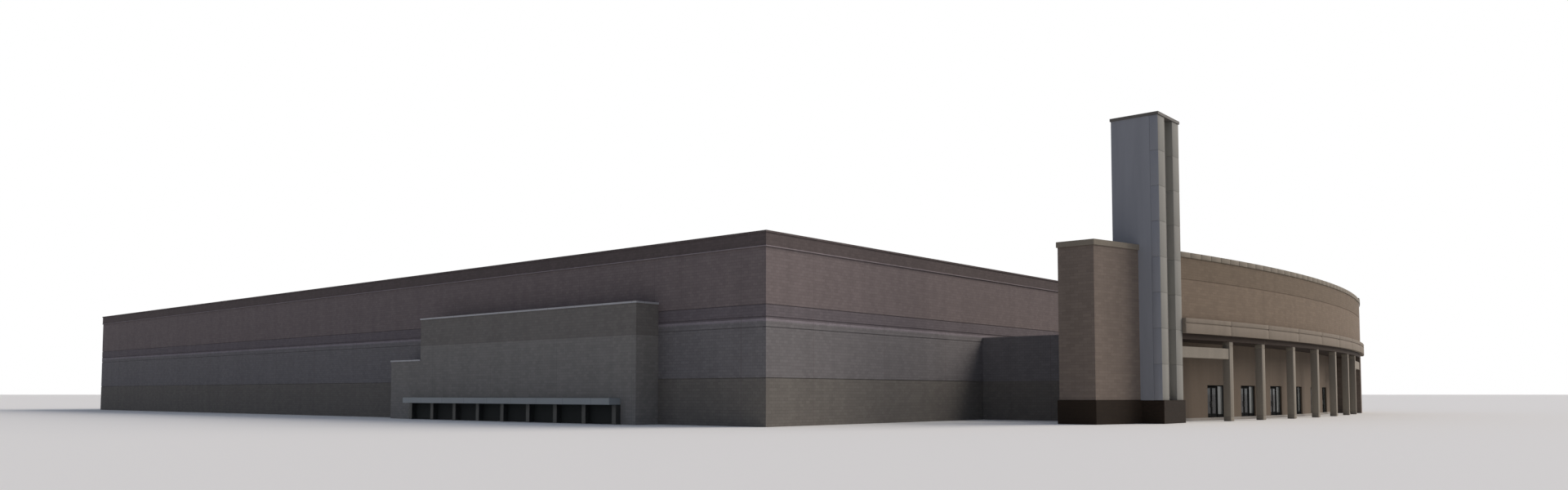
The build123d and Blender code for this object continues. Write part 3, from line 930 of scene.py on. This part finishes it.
class MALL_OT_tower(bpy.types.Operator):
    """Finish the tower and build its two fins from stacked precast panels"""
    bl_idname = "mall.tower"
    bl_label = "Tower"

    def execute(self, context):
        colours, sizes = settings()
        coat(["tower_shaft"], cast("smooth render", colours.tower, roughness=0.8, grain=0.003,
                                   bump=0.15, speckle=0.03, streak=0.08))
        coat(["tower_recess_panel"], sheet_metal("coated recess sheet", colours.recess))
        # dark brick, 215 by 65 mm with joints of 10 mm
        coat(["tower_plinth"], masonry("dark brick", colours.brick, BRICK, bump=0.5,
                                       joint=0.0006, tint=0.15))
        # the cap's dark colour is painted shade along the tower's top edge
        coat(["tower_cap"], sheet_metal("cap darkened as painted shade", colours.cap, roughness=0.7))
        self.fins(sizes)
        return {"FINISHED"}

    def fins(self, sizes):
        """One panel with chamfered joints, stacked by an array, for each fin.

        The tower's render runs on over the fins' outer sides.
        """
        low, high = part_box("tower_fins")
        panel_low, panel_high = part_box("tower_recess_panel")
        tall = (high.z - low.z) / sizes.fin_panels
        made = []
        for left, right in ((low.x, panel_low.x), (panel_high.x, high.x)):
            fin = block("fin", (left, low.y, low.z), (right, high.y, low.z + tall))
            soften(fin, sizes.edge)
            stack = fin.modifiers.new("stack", "ARRAY")
            stack.count = sizes.fin_panels
            stack.use_relative_offset = False
            stack.use_constant_offset = True
            stack.constant_offset_displace = (0, 0, tall)
            bpy.ops.object.modifier_apply(modifier=stack.name)
            made.append(fin)
        fins = joined(made, "precast_fins")
        finish_piece(fins, [bpy.data.materials["pale precast"],
                            bpy.data.materials["smooth render"]], ["tower_fins"])
        middle = (low.x + high.x) / 2
        for polygon in fins.data.polygons:
            outward = polygon.normal.x * (1 if polygon.center.x > middle else -1)
            polygon.material_index = 1 if outward > 0.8 else 0


class MALL_OT_dock(bpy.types.Operator):
    """Finish the loading dock, its copings and its platform"""
    bl_idname = "mall.dock"
    bl_label = "Loading dock"

    def execute(self, context):
        colours, sizes = settings()
        bands = [(0.0, colours.annex), (sizes.dock_line, colours.dock)]
        walls = masonry("painted block", colours.annex, BLOCK, bump=0.3, roughness=0.8,
                        bands=bands, joints_every=sizes.wall_joints)
        steel = sheet_metal("painted platform edge", colours.platform)
        # paint the shade under the platform on the walls and on the platform's posts
        self.paint_platform_shade(walls, colours.platform_shade_colour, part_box("dock_platform")[1].z)
        self.paint_platform_shade(steel, colours.platform_shade_colour, sizes.platform_foot)
        coat(["dock_walls", "dock_annex_walls"], walls)
        coat(["dock_copings"], sheet_metal("dock coping", colours.dock_coping))
        coat(["dock_platform"], steel)
        return {"FINISHED"}

    def paint_platform_shade(self, material, colour, top):
        """Paint shade on a finish up to a height, as far along the wall as the platform reaches.
        """
        low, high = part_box("dock_platform")
        tree = material.node_tree
        shader = next(node for node in tree.nodes if node.type == "BSDF_PRINCIPLED")
        clean = shader.inputs["Base Color"].links[0].from_socket
        place = add(tree, "TexCoord")
        parts = add(tree, "SeparateXYZ", {0: place.outputs["Object"]})
        under = add(tree, "Math", {0: parts.outputs["Z"], 1: top}, operation="LESS_THAN")
        reach = add(tree, "Math", {0: parts.outputs["Y"], 1: (low.y + high.y) / 2,
                                   2: (high.y - low.y) / 2}, operation="COMPARE")
        both = add(tree, "Math", {0: under, 1: reach}, operation="MULTIPLY")
        # the dark colour stands in for the platform's shade
        platform_shade_mix = add(tree, "Mix", {0: both, 6: clean, 7: opaque(colour)}, data_type="RGBA")
        tree.links.new(platform_shade_mix.outputs[2], shader.inputs["Base Color"])


class MALL_OT_shared(bpy.types.Operator):
    """Mix the finishes that several pieces share"""
    bl_idname = "mall.shared"
    bl_label = "Shared finishes"

    def execute(self, context):
        colours = settings()[0]
        # precast concrete, acid-etched: sand grains of 2 mm drawn at 40 mm to show
        cast("pale precast", colours.precast)
        drawn_metal("dark anodised aluminium", colours.frames, roughness=0.45)
        return {"FINISHED"}


class MALL_OT_stage(bpy.types.Operator):
    """Set the floor, the light and the camera"""
    bl_idname = "mall.stage"
    bl_label = "Stage"

    def execute(self, context):
        stage = context.scene.mall_stage
        bpy.ops.object.select_all(action="DESELECT")
        bpy.ops.mesh.primitive_plane_add(size=2000, location=(0, 0, -0.001))
        floor = context.object
        floor.name = "stage_floor"
        paper = new_material("pale studio floor", {
            "Base Color": opaque(stage.ground), "Roughness": 0.9, "Specular IOR Level": 0.1})[0]
        floor.data.materials.append(paper)
        self.world(stage)
        bpy.ops.object.light_add(type="SUN", rotation=(stage.sun_height, 0, stage.sun_heading))
        sun = context.object
        sun.name = "key_light"
        sun.data.energy = stage.sun
        sun.data.color = stage.sun_tint
        sun.data.angle = stage.sun_spread
        bpy.ops.object.camera_add(location=stage.camera, rotation=(stage.tilt, 0, stage.heading))
        camera = context.object
        camera.data.lens = stage.lens
        camera.data.sensor_width = 36
        camera.data.shift_y = stage.shift
        camera.data.clip_start = 0.05
        camera.data.clip_end = 3000
        context.scene.camera = camera
        context.scene.view_settings.view_transform = "Standard"
        return {"FINISHED"}

    def world(self, stage):
        """Even white light, seen as plain white by the camera and in glass and metal."""
        world = bpy.context.scene.world or bpy.data.worlds.new("world")
        bpy.context.scene.world = world
        world.use_nodes = True
        tree = world.node_tree
        tree.nodes.clear()
        rays = add(tree, "LightPath").outputs
        seen = add(tree, "Math", {0: rays["Is Camera Ray"], 1: rays["Is Glossy Ray"]},
                   operation="MAXIMUM")
        clear = add(tree, "Math", {0: seen, 1: rays["Is Transmission Ray"]}, operation="MAXIMUM")
        strength = add(tree, "MapRange", {0: clear, 3: stage.sky, 4: 1.0})
        tint = add(tree, "Mix", {0: clear, 6: opaque(stage.sky_tint), 7: opaque(WHITE)},
                   data_type="RGBA")
        light = add(tree, "Background", {"Color": tint.outputs[2], "Strength": strength})
        add(tree, "OutputWorld", {"Surface": light})


class MALL_PT_panel(bpy.types.Panel):
    """Lists the steps of the model and its settings"""
    bl_idname = "MALL_PT_panel"
    bl_label = "Shopping mall"
    bl_space_type = "VIEW_3D"
    bl_region_type = "UI"
    bl_category = "Mall"

    def draw(self, context):
        for step in STEPS:
            self.layout.operator(step.bl_idname)
        for name in GROUPS:
            group = getattr(context.scene, name)
            box = self.layout.box()
            for setting in group.__annotations__:
                box.prop(group, setting)


GROUPS = {"mall_finishes": MallFinishes, "mall_sizes": MallSizes, "mall_stage": MallStage}
STEPS = (MALL_OT_shared, MALL_OT_store, MALL_OT_screen, MALL_OT_colonnade, MALL_OT_entrance,
         MALL_OT_doors, MALL_OT_end_blocks, MALL_OT_tower, MALL_OT_dock, MALL_OT_stage)
CLASSES = tuple(GROUPS.values()) + STEPS + (MALL_PT_panel,)


def register():
    """Make the classes and the scene's settings known."""
    for kind in CLASSES:
        bpy.utils.register_class(kind)
    for name, kind in GROUPS.items():
        setattr(bpy.types.Scene, name, PointerProperty(type=kind))


def unregister():
    """Take the settings and the classes away again."""
    for name in GROUPS:
        delattr(bpy.types.Scene, name)
    for kind in reversed(CLASSES):
        bpy.utils.unregister_class(kind)


def main():
    """Build everything in order."""
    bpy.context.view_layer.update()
    register()
    for step in STEPS:
        getattr(bpy.ops.mall, step.bl_idname.split(".")[1])()
    bpy.context.view_layer.update()


if __name__ == "__main__":
    main()
